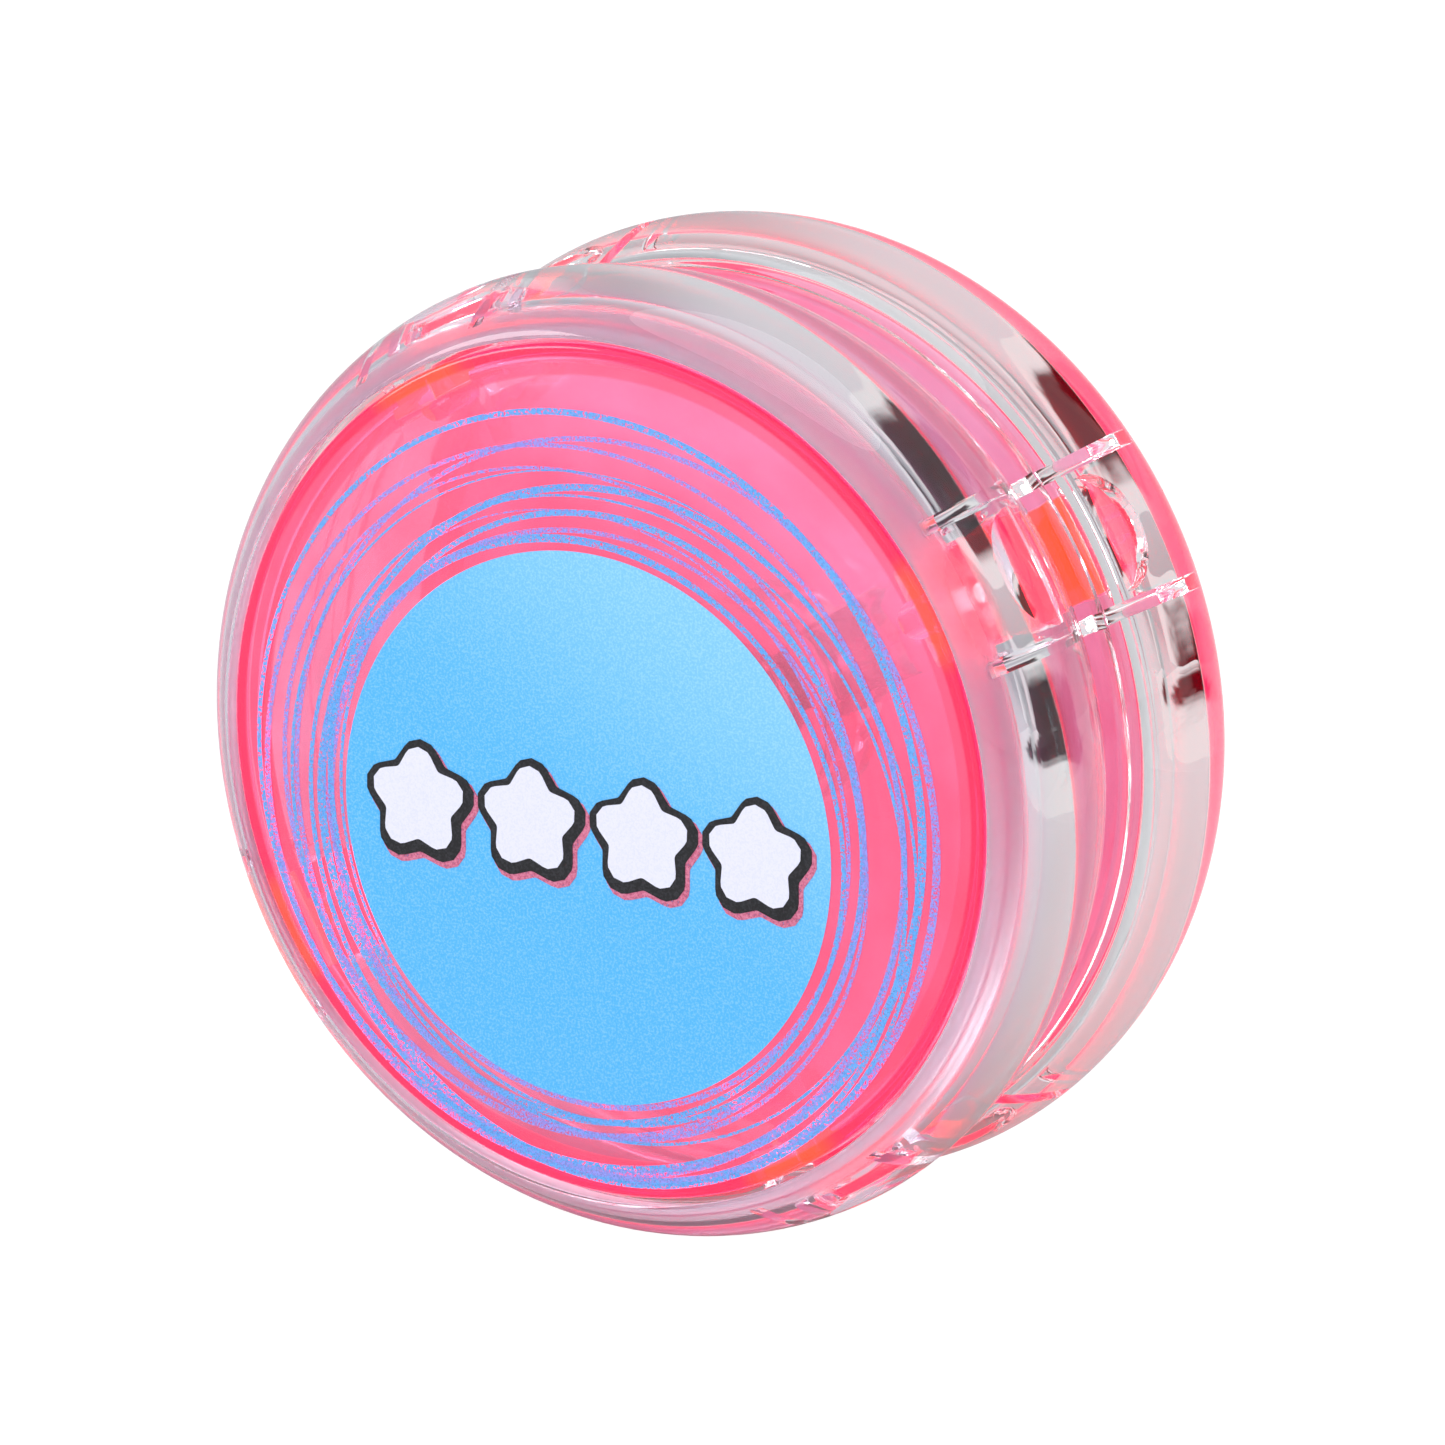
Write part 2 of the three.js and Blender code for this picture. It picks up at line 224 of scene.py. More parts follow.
class Shader:
    """Builds one node tree from nothing."""

    def __init__(self, owner):
        owner.use_nodes = True
        self.tree = owner.node_tree
        self.tree.nodes.clear()

    def node(self, kind, settings=None, inputs=None, output=0):
        """Node with its settings, then its sockets set or linked; gives the wire from one output."""
        made = self.tree.nodes.new(kind)
        for name, value in (settings or {}).items():
            setattr(made, name, value)
        for name, value in (inputs or {}).items():
            if isinstance(value, Wire):
                self.tree.links.new(value.socket, made.inputs[name])
            else:
                made.inputs[name].default_value = value
        return Wire(self, made.outputs[output]) if made.outputs else None

    def math(self, operation, *values):
        return self.node("ShaderNodeMath", {"operation": operation}, dict(enumerate(values)))

    def place(self, location=(0, 0, 0), rotation=(0, 0, 0), scale=(1, 1, 1)):
        """Object coordinates, centred and turned by a Mapping node."""
        coordinates = self.node("ShaderNodeTexCoord", output="Object")
        return self.node(
            "ShaderNodeMapping", {"vector_type": "TEXTURE"},
            {"Vector": coordinates, "Location": location, "Rotation": rotation, "Scale": scale},
        )

    def axes(self, vector):
        """The three numbers of a vector."""
        split = self.node("ShaderNodeSeparateXYZ", inputs={0: vector})
        return [Wire(self, socket) for socket in split.socket.node.outputs]

    def round_axle(self, place):
        """x, y, z, distance from the axle and height above the middle plane on either side."""
        x, y, z = self.axes(place)
        return x, y, z, (x * x + z * z) ** 0.5, abs(y)

    def noise(self, vector, size, detail=2.0, roughness=0.5):
        """Noise whose features are about `size` metres across."""
        inputs = {"Vector": vector, "Scale": 1 / size, "Detail": detail, "Roughness": roughness}
        return self.node("ShaderNodeTexNoise", inputs=inputs)

    def mix(self, factor, first, second):
        """Mix of two colours; a Mix node's sockets share their names, so they go by number."""
        factor_socket, first_socket, second_socket, result = 0, 6, 7, 2
        inputs = {factor_socket: factor, first_socket: first, second_socket: second}
        return self.node("ShaderNodeMix", {"data_type": "RGBA"}, inputs, output=result)

    def bump(self, height, strength, distance):
        inputs = {"Height": height, "Strength": strength, "Distance": distance}
        return self.node("ShaderNodeBump", inputs=inputs)

    def surface(self, **inputs):
        """Principled surface; an underscore in a name stands for a space."""
        named = {name.replace("_", " "): value for name, value in inputs.items()}
        principled = self.node("ShaderNodeBsdfPrincipled", inputs=named)
        self.node("ShaderNodeOutputMaterial", inputs={"Surface": principled})


def new_material(name):
    material = bpy.data.materials.new(name)
    return material, Shader(material)


def dimmed(shade, share):
    """A share of a colour's brightness, opaque."""
    return tuple(share * value for value in shade[:3]) + (1,)


# ---- materials -------------------------------------------------------------------------------


def clear_plastic(colours, s, cap):
    """Clear moulding with faint scuffs; the bore beside the front cap is matt. Painted light: the front lip
    and that bore are painted lavender, and the lip glows faintly.
    """
    material, shader = new_material("clear_plastic")
    place = shader.place()
    _, y, _, radius, height = shader.round_axle(place)
    front = 0 - y
    flow = shader.noise(place, 9 * MM, detail=2)
    scuffs = shader.noise(place, 0.5 * MM, detail=3)
    u = (height - s.crown_height) / (s.lip_height - s.crown_height)
    bore = cap.radius + cap.clearance + s.bore_bulge * (1 - u * u)
    on_bore = (bore + 0.1 * MM - radius).between(0, 0.05 * MM)
    matt = on_bore * front.between(9.4 * MM, 10.4 * MM)
    # painted light: lavender tint and a faint glow in the front shell's lip only
    lip = front.between(9 * MM, 11.3 * MM)
    tint_with_painted_lip = shader.mix(lip, tuple(colours.clear), tuple(colours.lip_painted_lavender))
    shader.surface(
        # the matt bore beside the front cap is painted lavender as well: painted light
        Base_Color=shader.mix(matt, tint_with_painted_lip, tuple(colours.matt_painted_lavender)),
        Roughness=0.01 + 0.01 * scuffs.between(0.62, 0.75) + 0.42 * matt,
        IOR=CLEAR_IOR,
        Transmission_Weight=1.0,
        Emission_Color=shader.mix(lip, (0, 0, 0, 1), tuple(colours.lip_glow)),
        Emission_Strength=1.0,
        Normal=shader.bump(flow, 0.15, 0.03 * MM),
    )
    return material


def pink_plastic(colours, cap, tab_phase):
    """Fluorescent plastic: light travels along the plate and comes out red at its edges.

    It turns orange at the hooks' ends and at spots of the face's edge over the tabs.
    """
    material, shader = new_material("pink_plastic")
    place = shader.place()
    x, y, z, radius, height = shader.round_axle(place)
    haze = shader.noise(place, 5 * MM, detail=3).between(0.3, 0.7)

    plate_bottom = cap.face - cap.thickness
    below_plate = 1 - height.between(plate_bottom + 0.1 * MM, plate_bottom + 0.5 * MM)
    inner = cap.radius - (0.75 + 1.25 * below_plate) * cap.skirt_wall
    rim = (radius - inner).between(-0.1 * MM, 0.1 * MM)
    wall = (radius - cap.radius).between(-0.2 * MM, -0.1 * MM) * (1 - y.between(0, 1 * MM))
    # painted light: the front cap's outer wall is painted paler pink and its red edge weakened, unlike the
    # rear cap's
    front_wall = wall * (y + cap.face).between(0.3 * MM, 0.5 * MM)
    side = rim * (1 - 0.7 * front_wall)
    tab_depths = 1 - height.between(cap.tab_end + 2 * MM, cap.face - 3 * MM)
    edge = shader.math("MAXIMUM", side, tab_depths)

    hook_end = 1 - height.between(cap.tab_end + 0.1 * MM, cap.tab_end + 0.5 * MM)
    turn = (shader.math("ARCTAN2", z, x) - tab_phase) * TABS
    on_face = height.between(cap.face - 0.6 * MM, cap.face - 0.2 * MM)
    over_tab = shader.math("COSINE", turn).between(0.80, 0.97) * on_face
    orange = shader.math("MAXIMUM", hook_end, 0.8 * over_tab)
    glow = shader.mix(orange, tuple(colours.edge_glow), tuple(colours.tab_glow))

    # painted light: the pink is mixed paler up and to the right, where the caps look more brightly lit
    painted_light_up_right = (0.5 * x + z).between(13 * MM, 24 * MM)
    body = shader.mix(0.35 * haze + 0.65 * painted_light_up_right, tuple(colours.pink), tuple(colours.pale_pink))
    body = shader.mix(front_wall, body, tuple(colours.wall_painted_pale_pink))
    edge_red = (1.0, 0.01, 0.05, 1)
    shader.surface(
        Base_Color=shader.mix(edge, body, edge_red),
        Roughness=0.03 + 0.03 * haze,
        IOR=CLEAR_IOR,
        Transmission_Weight=0.9,
        Emission_Color=shader.mix(edge, dimmed(colours.pink, 0.2), glow),
        Emission_Strength=0.9,
        Normal=shader.bump(haze, 0.2, 0.04 * MM),
    )
    return material


def ink(name, shade, grain_shade, grain=0.5, alpha=None, sheen=None, layered=False, painted_highlight=0):
    """Printed ink: fine random dots of a second shade, and cover that may break up into dots.

    layered gives inks at different heights different dots, so that two of them cover more. The last
    argument adds the second shade towards the upper right as a painted highlight.
    """
    material, shader = new_material(name)
    between_layers = 0.003 if layered else 1
    place = shader.place(scale=(1, between_layers, 1))
    dots = shader.noise(place, 0.14 * MM, detail=2, roughness=0.7)
    patches = shader.noise(place, 4 * MM, detail=1)
    speckle = dots.between(0.42, 0.66) * grain
    # painted highlight: the second shade is added towards the upper right
    if painted_highlight:
        x, _, z = shader.axes(place)
        speckle = speckle + painted_highlight * (0.6 * x + z).between(-6 * MM, 16 * MM)
    mixed = shader.mix(speckle, shade, grain_shade)
    values = {"Base_Color": mixed, "Roughness": 0.32 + 0.12 * patches, "IOR": 1.45}
    if alpha is not None:
        values["Alpha"] = dots.between(*alpha)
    if sheen is not None:
        values["Metallic"] = sheen * dots.between(0.5, 0.7)
    shader.surface(**values)
    return material


def plated_steel(colours):
    material, shader = new_material("plated_steel")
    place = shader.place(scale=(1, 6, 1))
    grain = shader.noise(place, 0.25 * MM, detail=4)
    shader.surface(
        Base_Color=shader.mix(grain, dimmed(colours.steel, 0.8), tuple(colours.steel)),
        Metallic=1.0,
        Roughness=0.2 + 0.15 * grain,
        Normal=shader.bump(grain, 0.3, 0.02 * MM),
    )
    return material


def acetal(colours):
    material, shader = new_material("white_acetal")
    place = shader.place()
    mottle = shader.noise(place, 0.8 * MM, detail=4)
    tone = tuple(colours.sleeve)
    warm = (tone[0] * 0.96, tone[1] * 0.94, tone[2] * 0.88, 1)
    shader.surface(
        Base_Color=shader.mix(mottle, warm, tone),
        Roughness=0.35 + 0.15 * mottle,
        IOR=1.48,
        Subsurface_Weight=0.2,
        Normal=shader.bump(mottle, 0.2, 0.02 * MM),
    )
    return material


# ---- mesh helpers ----------------------------------------------------------------------------


def superellipse(start, end, power, steps, reach=1.0):
    """Quarter curve of (radius, height) from start, where it runs along the axle, towards end.

    reach is the share of the height span at which the curve is cut off.
    """
    last = math.asin(reach ** (power / 2))
    points = []
    for i in range(steps + 1):
        turn = last * i / steps
        radius = end[0] + (start[0] - end[0]) * math.cos(turn) ** (2 / power)
        height = start[1] + (end[1] - start[1]) * math.sin(turn) ** (2 / power)
        points.append((radius, height))
    return points


def soften(corners, steps=3):
    """Outline with rounded corners; a corner is (radius, height) or (radius, height, rounding)."""
    outline = []
    for i, corner in enumerate(corners):
        here = Vector(corner[:2])
        if len(corner) == 2:
            outline.append(tuple(here))
            continue
        before = (Vector(corners[i - 1][:2]) - here).normalized()
        after = (Vector(corners[(i + 1) % len(corners)][:2]) - here).normalized()
        half = before.angle(after) / 2
        centre = here + (before + after).normalized() * corner[2] / math.sin(half)
        reach = corner[2] / math.tan(half)
        first = here + before * reach - centre
        second = here + after * reach - centre
        for k in range(steps + 1):
            spoke = first.lerp(second, k / steps).normalized() * corner[2]
            outline.append(tuple(centre + spoke))
    return outline


def add_outline(bm, points, closed=True):
    """Vertices and edges of an outline in the plane of the axle and +X."""
    verts = [bm.verts.new((radius, height, 0)) for radius, height in points]
    edges = [bm.edges.new(pair) for pair in zip(verts, verts[1:])]
    if closed:
        edges.append(bm.edges.new((verts[-1], verts[0])))
    return verts, edges


def turned(points, steps, closed=True):
    """Solid of revolution about the axle."""
    bm = bmesh.new()
    verts, edges = add_outline(bm, points, closed)
    bmesh.ops.spin(
        bm, geom=verts + edges, cent=(0, 0, 0), axis=(0, 1, 0),
        angle=math.tau, steps=steps, use_merge=True,
    )
    bmesh.ops.remove_doubles(bm, verts=bm.verts, dist=1e-7)
    bmesh.ops.recalc_face_normals(bm, faces=bm.faces)
    return bm


def slab(points, width, edge=0.0):
    """Plate with the given (radius, height) outline, centred on +X and `width` across, edges eased."""
    bm = bmesh.new()
    verts = [bm.verts.new((radius, height, -width / 2)) for radius, height in points]
    face = bm.faces.new(verts)
    grown = bmesh.ops.extrude_face_region(bm, geom=[face])
    moved = [item for item in grown["geom"] if isinstance(item, bmesh.types.BMVert)]
    bmesh.ops.translate(bm, verts=moved, vec=(0, 0, width))
    bmesh.ops.recalc_face_normals(bm, faces=bm.faces)
    if edge:
        bmesh.ops.bevel(
            bm, geom=list(bm.edges), offset=edge, affect="EDGES",
            segments=2, profile=0.5, material=-1,
        )
    return bm


def rod(radius, bottom, top, sides, at=(0, 0)):
    """Round or polygonal bar along the axle."""
    place = Matrix.Translation((at[0], (bottom + top) / 2, at[1]))
    bm = bmesh.new()
    bmesh.ops.create_cone(
        bm, cap_ends=True, segments=sides, radius1=radius, radius2=radius, depth=top - bottom,
        matrix=place @ Matrix.Rotation(math.pi / 2, 4, "X"),
    )
    return bm


def join(target, parts):
    """Adds the meshes in parts to target and frees them."""
    for part in parts:
        mesh = bpy.data.meshes.new("part")
        part.to_mesh(mesh)
        target.from_mesh(mesh)
        bpy.data.meshes.remove(mesh)
        part.free()
    return target


def rotate(bm, matrix):
    """Turns a mesh about the origin."""
    bmesh.ops.rotate(bm, verts=bm.verts, cent=(0, 0, 0), matrix=matrix)


def at_each_tab(make):
    """A copy of what make() gives for each tab, spaced evenly about the axle."""
    parts = []
    for i in range(TABS):
        part = make()
        rotate(part, Matrix.Rotation(i * math.tau / TABS, 3, "Y"))
        parts.append(part)
    return parts


def finished(name, bm, material, smooth=35):
    """Object at the origin from a mesh in place, smooth but for its sharp edges."""
    mesh = bpy.data.meshes.new(name)
    bm.to_mesh(mesh)
    bm.free()
    for polygon in mesh.polygons:
        polygon.use_smooth = True
    mesh.set_sharp_from_angle(angle=math.radians(smooth))
    mesh.materials.append(material)
    made = bpy.data.objects.new(name, mesh)
    bpy.context.scene.collection.objects.link(made)
    return made


def combined(base, steps):
    """base after each (operation, closed mesh) pair in steps: UNION, DIFFERENCE or INTERSECT."""
    scene = bpy.context.scene
    made = []

    def temporary(bm):
        mesh = bpy.data.meshes.new("temporary")
        bm.to_mesh(mesh)
        bm.free()
        made.append(bpy.data.objects.new("temporary", mesh))
        scene.collection.objects.link(made[-1])
        return made[-1]

    body = temporary(base)
    for operation, tool in steps:
        step = body.modifiers.new(operation, "BOOLEAN")
        step.operation = operation
        step.solver = "EXACT"
        step.object = temporary(tool)
    shape = body.evaluated_get(bpy.context.evaluated_depsgraph_get()).to_mesh()
    result = bmesh.new()
    result.from_mesh(shape)
    for item in made:
        mesh = item.data
        bpy.data.objects.remove(item)
        bpy.data.meshes.remove(mesh)
    return result


def to_side(bm, side, phase):
    """Turns a shape that rises along +Y to its own side and to the tabs' phase."""
    turn = Matrix.Rotation(-phase, 3, "Y")
    if side == "front":
        turn = turn @ Matrix.Rotation(math.pi, 3, "Z")
    rotate(bm, turn)
    return bm


# ---- shells ----------------------------------------------------------------------------------


def rim_curve(s, steps=18, throat_power=1.35, shoulder_power=1.85):
    """Outer (radius, height) points from the string gap over the crown to the lip."""
    throat_height = s.gap_face + s.throat_round
    throat = superellipse(
        (s.outer_radius, s.crown_height),
        (s.outer_radius - s.throat_drop, throat_height), throat_power, steps,
    )
    span = s.lip_height + s.shoulder_overrun - s.crown_height
    shoulder = superellipse(
        (s.outer_radius, s.crown_height),
        (s.outer_radius - s.shoulder_drop, s.crown_height + span), shoulder_power, steps,
        reach=(s.lip_height - s.crown_height) / span,
    )
    return throat[::-1] + shoulder[1:]


def bore_radius(s, lip_bore, height):
    """Radius of the rim's bore, widest at and below the crown and drawn in towards the lip."""
    u = max(0, height - s.crown_height) / (s.lip_height - s.crown_height)
    return lip_bore + s.bore_bulge * (1 - u * u)


def shell_outline(s, lip_bore, recess_radius, recess_floor, steps=24):
    """Section of a shell: rim, lip, bore, web and hub, with the recess for spacer and sleeve."""
    rim = rim_curve(s)
    hub_top = s.gap_face + s.hub_height
    web_top = s.gap_face + s.web
    fine, lip_edge = 0.15 * MM, 0.08 * MM
    heights = [s.lip_height + (web_top - s.lip_height) * i / steps for i in range(1, steps + 1)]
    return soften([
        (AXLE_HOLE, recess_floor),
        (recess_radius, recess_floor),
        (recess_radius, s.gap_face, fine),
        (rim[0][0], s.gap_face, 0.9 * s.throat_round),
        *rim[:-1],
        (*rim[-1], lip_edge),
        (lip_bore, s.lip_height, lip_edge),
        *((bore_radius(s, lip_bore, height), height) for height in heights[:-1]),
        (bore_radius(s, lip_bore, web_top), web_top, 0.4 * MM),
        (s.hub_radius, web_top, 0.5 * MM),
        (s.hub_radius, hub_top, 2 * fine),
        (AXLE_HOLE, hub_top),
    ])


def shell_half(s, cap):
    """One shell, rising along +Y, with its first tab's pocket at +X."""
    lip_bore = cap.radius + cap.clearance
    recess_radius = sleeve_high.x + cap.clearance
    recess_floor = spacer_high.y + cap.clearance
    web_top = s.gap_face + s.web
    skirt_end = cap.face - cap.thickness - cap.skirt_depth
    rib_top = s.lip_height - 2 * MM
    rib_width = 0.9 * MM
    rib_offset = (cap.tab_width + rib_width) / 2 + 3 * cap.clearance
    rib_inner = lip_bore - 2.6 * MM
    rib_bottom = web_top - 0.4 * MM  # sunk into the web
    reach = s.outer_radius - SKIN
    catch_bottom = cap.tab_end + 1.4 * MM
    catch_inner = cap.radius - TAB_INSET + cap.clearance
    eased = 0.12 * MM

    def rib(side):
        plate = slab([
            (rib_inner, rib_bottom),
            (s.outer_radius - s.throat_drop, rib_bottom),
            (reach, s.crown_height),
            (reach - 0.6 * MM, rib_top),
            (lip_bore, rib_top),
            (lip_bore, skirt_end - cap.clearance),
            (rib_inner, skirt_end - cap.clearance),
        ], rib_width, edge=eased)
        bmesh.ops.translate(plate, verts=plate.verts, vec=(0, 0, side * rib_offset))
        return plate

    def catch(half=3.4 * MM, rise=2.6 * MM, steps=24):
        """D-shaped block on the bore: straight towards the hook, round towards the lip."""
        shoulder = catch_bottom + 0.6 * MM
        arc = [math.pi * i / steps for i in range(steps + 1)]
        outline = [(-half, catch_bottom), (half, catch_bottom)]
        outline += [(half * math.cos(turn), shoulder + rise * math.sin(turn)) for turn in arc]
        block = slab(outline, reach - catch_inner, edge=eased)
        rotate(block, Matrix.Rotation(math.pi / 2, 3, "Y"))
        bmesh.ops.translate(block, verts=block.verts, vec=((reach + catch_inner) / 2, 0, 0))
        return block

    ribs = [join(bmesh.new(), at_each_tab(lambda side=side: rib(side))) for side in (-1, 1)]
    catches = join(bmesh.new(), at_each_tab(catch))
    hub_top = s.gap_face + s.hub_height
    pocket_corner = HEX_POCKET_ACROSS / math.sqrt(3)
    hex_pocket = rod(pocket_corner, hub_top - HEX_POCKET_DEPTH, hub_top + 1 * MM, sides=6)
    body = turned(shell_outline(s, lip_bore, recess_radius, recess_floor), s.around)
    added = [("UNION", part) for part in (*ribs, catches)]
    return combined(body, [*added, ("DIFFERENCE", hex_pocket)])


# ---- caps ------------------------------------------------------------------------------------


def cap_half(cap):
    """One cap, rising along +Y, with its first tab at +X."""
    plate_bottom = cap.face - cap.thickness
    skirt_end = plate_bottom - cap.skirt_depth
    skirt_inner = cap.radius - cap.skirt_wall
    face_edge, skirt_edge, fillet = 0.3 * MM, 0.12 * MM, 0.35 * MM
    body = turned(soften([
        (0, plate_bottom),
        (skirt_inner, plate_bottom, fillet),
        (skirt_inner, skirt_end, skirt_edge),
        (cap.radius, skirt_end, skirt_edge),
        (cap.radius, cap.face, face_edge),
        (0, cap.face),
    ]), FACETS, closed=False)
    tab_outer = cap.radius - TAB_INSET
    tab_inner = tab_outer - cap.tab_thickness
    root = plate_bottom + 0.3 * MM  # sunk into the plate
    hook_top = cap.tab_end + 1.1 * MM
    chamfer = 0.25 * MM

    def tab():
        return slab([
            (tab_inner, root),
            (tab_inner, cap.tab_end),
            (cap.hook_reach - chamfer, cap.tab_end),
            (cap.hook_reach, cap.tab_end + chamfer),
            (cap.hook_reach, hook_top),
            (tab_outer, hook_top),
            (tab_outer, root),
        ], cap.tab_width, edge=0.1 * MM)

    def boss(radius=1.1 * MM, depth=3 * MM):
        """Round stiffener at the tab's root."""
        return rod(radius, plate_bottom - depth, root, sides=32, at=(tab_inner, 0))

    tabs = join(bmesh.new(), at_each_tab(tab))
    bosses = join(bmesh.new(), at_each_tab(boss))
    return combined(body, [("UNION", tabs), ("UNION", bosses)])


# ---- print -----------------------------------------------------------------------------------


def ink_layer(loops, bottom, thickness, where):
    """Flat layer of ink between an outer and an inner closed loop, or inside one loop."""
    bm = bmesh.new()
    edges = []
    for loop in loops:
        verts = [bm.verts.new((x, 0, z)) for x, z in loop]
        edges.extend(bm.edges.new((a, b)) for a, b in zip(verts, verts[1:] + verts[:1]))
    if len(loops) == 2:
        bmesh.ops.bridge_loops(bm, edges=edges)
    else:
        bm.faces.new(bm.verts)
    grown = bmesh.ops.extrude_face_region(bm, geom=list(bm.faces))
    moved = [item for item in grown["geom"] if isinstance(item, bmesh.types.BMVert)]
    bmesh.ops.translate(bm, verts=moved, vec=(0, -thickness, 0))
    bmesh.ops.recalc_face_normals(bm, faces=bm.faces)
    bmesh.ops.translate(bm, verts=bm.verts, vec=(where[0], -bottom, where[1]))
    return bm


def ellipse(centre, semi_axes, turn, count=160):
    """Closed loop of points on the cap's face."""
    points = []
    for i in range(count):
        angle = math.tau * i / count
        point = Vector((semi_axes[0] * math.cos(angle), semi_axes[1] * math.sin(angle)))
        point.rotate(Matrix.Rotation(turn, 2))
        points.append((centre[0] + point.x, centre[1] + point.y))
    return points


def star(radius, grow=0.0, points=5, waist=0.56, steps=4):
    """Rounded star outline, grown outwards by a margin."""
    corners = []
    for i in range(2 * points):
        tip = i % 2 == 0
        reach = (radius if tip else radius * waist) + grow
        angle = math.pi / 2 + math.pi * i / points
        rounding = 0.24 * radius + 0.5 * grow if tip else 0.10 * radius
        corners.append((reach * math.cos(angle), reach * math.sin(angle), rounding))
    return soften(corners, steps)


def swirl_rings(p):
    """Outer and inner loops of the thin rings that swing round the disc.

    The wider a ring, the more it leans up and to the right of the disc's centre.
    """
    draw = random.Random(11)
    lean = Vector((0.8 * MM, 1.3 * MM))
    widest = 22.3 * MM
    limit = 24.0 * MM  # from the axle, inside the edge of the cap's face
    middle = Vector((p.centre_x, p.centre_z))
    bands = ((17.6 * MM, 4, 0.8 * MM), (19.3 * MM, 3, 1.5 * MM), (21.6 * MM, 4, 1.1 * MM))
    rings = []
    for radius, count, scatter in bands:
        for i in range(count):
            size = radius + draw.uniform(-0.4, 0.5) * MM
            angle = math.tau * (i + 0.5 * draw.random()) / count
            centre = lean * (size - p.disc_radius) / (widest - p.disc_radius)
            centre = centre + Vector((scatter * math.cos(angle), scatter * math.sin(angle)))
            size = min(size, limit - (centre + middle).length)
            spread = draw.uniform(0, 0.015)
            axes = (size * (1 + spread), size * (1 - spread))
            turn = draw.uniform(0, math.pi)
            width = draw.uniform(0.2, 0.44) * MM
            shift = Vector((0.13 * MM, 0))
            shift.rotate(Matrix.Rotation(draw.uniform(0, math.tau), 2))
            inner = ellipse(centre + shift, (axes[0] - width, axes[1] - width), turn)
            rings.append((ellipse(centre, axes, turn), inner))
    return rings


# ---- axle hardware ---------------------------------------------------------------------------


def chamfered_hex(bottom, top, hole=None):
    """Hexagonal bar whose corners are turned down at both ends, with a hole if one is given."""
    drop = 0.35 * MM
    corner = HEX_ACROSS / math.sqrt(3)
    flat = corner * math.cos(math.pi / 6)
    outside = corner + 0.1 * MM
    lathe = turned([
        (0, bottom), (flat, bottom), (outside, bottom + drop),
        (outside, top - drop), (flat, top), (0, top),
    ], RING_FACETS, closed=False)
    steps = [("INTERSECT", lathe)]
    if hole:
        mouth, depth = hole + 1.4 * drop, 0.8 * drop
        bore = turned([
            (0, bottom - drop), (mouth, bottom - drop), (hole, bottom + depth),
            (hole, top - depth), (mouth, top + drop), (0, top + drop),
        ], BOLT_FACETS, closed=False)
        steps.append(("DIFFERENCE", bore))
    return combined(rod(corner, bottom, top, sides=6), steps)


def bolt_shape(root=1.68 * MM, pitch=0.7 * MM, thread_end=-2.6 * MM, lead=0.25 * MM):
    """Hexagon bolt along the axle: head in the rear half, rolled thread in the front half."""
    seat, end = -nut_high.y, bolt_low.y
    under_head = seat + 0.4 * MM  # sunk into the head
    shank = [(0, end), (root - 0.2 * MM, end), (root, end + lead)]
    height = end + lead
    while height < thread_end:
        shank += [
            (BOLT_RADIUS, height + 0.45 * pitch), (BOLT_RADIUS, height + 0.6 * pitch),
            (root, height + pitch),
        ]
        height += pitch
    shank += [(BOLT_RADIUS, height + 0.3 * MM), (BOLT_RADIUS, under_head), (0, under_head)]
    dish_floor, dish_top = bolt_high.y - 0.3 * MM, bolt_high.y + 0.1 * MM
    dish = turned([
        (0, dish_floor), (1.9 * MM, dish_floor), (2.3 * MM, dish_top), (0, dish_top),
    ], BOLT_FACETS, closed=False)
    head = chamfered_hex(seat, bolt_high.y)
    return combined(
        turned(shank, BOLT_FACETS, closed=False), [("UNION", head), ("DIFFERENCE", dish)]
    )


def nut_shape():
    return chamfered_hex(nut_low.y, nut_high.y, hole=BOLT_RADIUS + 0.15 * MM)


def washer_shape(low, high, edge=0.08 * MM):
    return turned(soften([
        (AXLE_HOLE, low.y, edge), (high.x, low.y, edge),
        (high.x, high.y, edge), (AXLE_HOLE, high.y, edge),
    ]), RING_FACETS)


def sleeve_shape(waist=3.4 * MM, flange=0.45 * MM, edge=0.12 * MM, steps=12):
    """Flanged ring with a round waist for the string's loop."""
    half, outer = sleeve_high.y, sleeve_high.x
    waist_edge = outer - edge
    side = [(outer, -half, edge), (outer, flange - half, edge)]
    for i in range(steps + 1):
        along = 2 * i / steps - 1
        height = (half - flange - 0.25 * MM) * along
        dip = math.cos(math.pi / 2 * along)
        side.append((waist_edge - (waist_edge - waist) * dip, height))
    side += [(outer, half - flange, edge), (outer, half, edge)]
    return turned(soften([(AXLE_HOLE, -half, edge), *side, (AXLE_HOLE, half, edge)]), RING_FACETS)


# ---- operators -------------------------------------------------------------------------------


class YOYO_OT_shells(bpy.types.Operator):
    """Model the two clear shells"""

    bl_idname = "yoyo.shells"
    bl_label = "Clear Shells"

    def execute(self, context):
        scene = context.scene
        material = clear_plastic(scene.yoyo_colours, scene.yoyo_shell, scene.yoyo_cap)
        for side in SIDES:
            shape = shell_half(scene.yoyo_shell, scene.yoyo_cap)
            to_side(shape, side, scene.yoyo_shell.tab_phase)
            made = finished(f"{side}_clear_shell", shape, material)
            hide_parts(f"{side}_shell")
            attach(made, "halves")
        return {"FINISHED"}


class YOYO_OT_caps(bpy.types.Operator):
    """Model the two pink snap-in caps"""

    bl_idname = "yoyo.caps"
    bl_label = "Pink Caps"

    def execute(self, context):
        scene = context.scene
        material = pink_plastic(scene.yoyo_colours, scene.yoyo_cap, scene.yoyo_shell.tab_phase)
        for side in SIDES:
            shape = to_side(cap_half(scene.yoyo_cap), side, scene.yoyo_shell.tab_phase)
            made = finished(f"{side}_pink_cap", shape, material)
            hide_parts(f"{side}_cap")
            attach(made, "halves")
        return {"FINISHED"}


